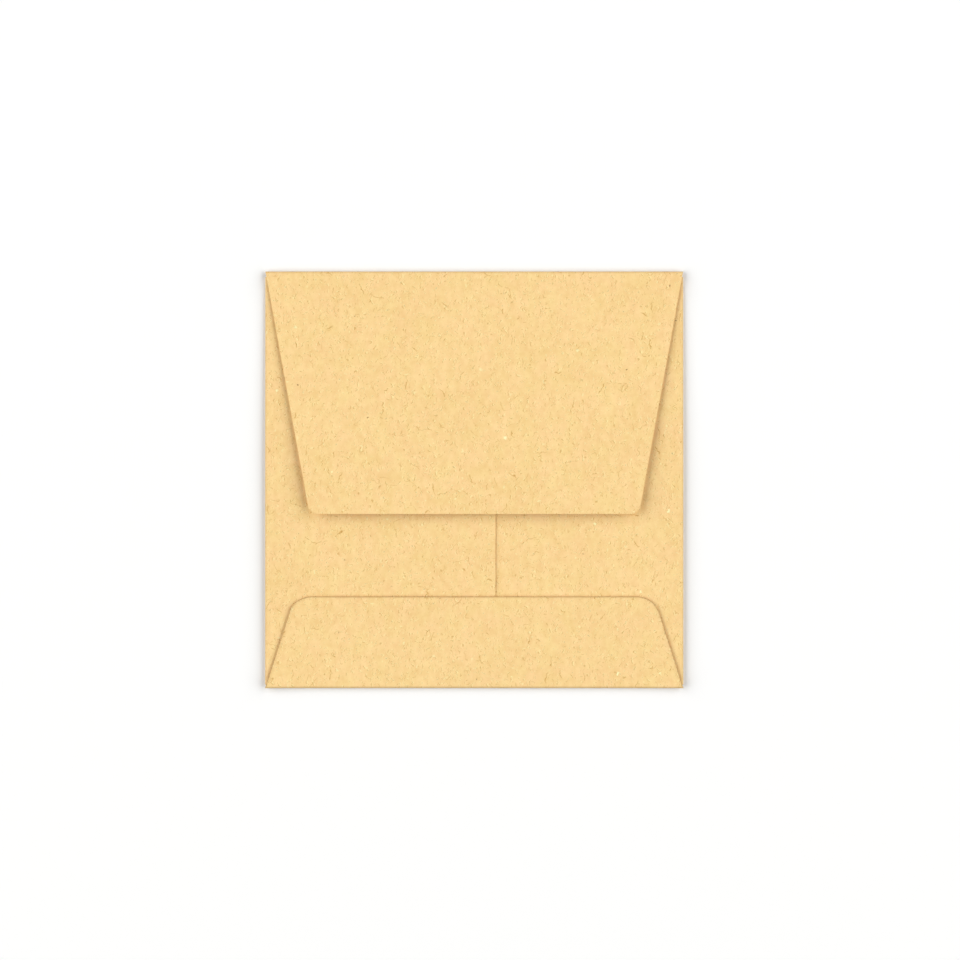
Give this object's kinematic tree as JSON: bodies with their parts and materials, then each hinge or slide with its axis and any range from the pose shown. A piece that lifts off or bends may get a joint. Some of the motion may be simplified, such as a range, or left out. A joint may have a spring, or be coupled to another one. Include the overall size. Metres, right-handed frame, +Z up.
{
  "type": "square envelope",
  "caption": "Square kraft paper envelope with a folding square top flap, lapped side seam, bottom flap and gum strip, lying on its front.",
  "frame": {"origin": "on the table, under the middle of the envelope's outline", "axes": "+X to the right seen from the back, +Y towards the crease of the top flap, +Z up, out of the back of the envelope"},
  "size_m": [0.125, 0.1246, 0.0029],
  "materials": {
    "kraft_paper": "matte",
    "paper_glue": "satin",
    "dry_gum": "gloss"
  },
  "bodies": {
    "front_wall": {"front_panel": "kraft_paper", "left_fold": "kraft_paper", "right_fold": "kraft_paper", "bottom_fold": "kraft_paper", "top_fold": "kraft_paper"},
    "back_wall": {"left_side_panel": "kraft_paper", "right_side_panel": "kraft_paper", "seam_glue": "paper_glue", "bottom_flap": "kraft_paper", "bottom_flap_glue": "paper_glue"},
    "flap": {"top_flap": "kraft_paper", "seal_gum": "dry_gum"}
  },
  "joints": [
    {"name": "flap_hinge", "type": "hinge", "parent": "front_wall", "child": "flap", "pos_m": [0, 0.06143, 0.00088], "axis": [-1, 0, 0], "range_deg": [-0.9, 178.4], "deforming": ["top_fold"]},
    {"name": "mouth_gape", "type": "hinge", "parent": "front_wall", "child": "back_wall", "pos_m": [0, -0.06157, 0.00072], "axis": [1, 0, 0], "range_deg": [-0.02, 4], "deforming": ["bottom_fold"]}
  ],
  "couplings": [
    {"joint": "mouth_gape", "follows": "flap_hinge", "ratio": 0.0222}
  ]
}
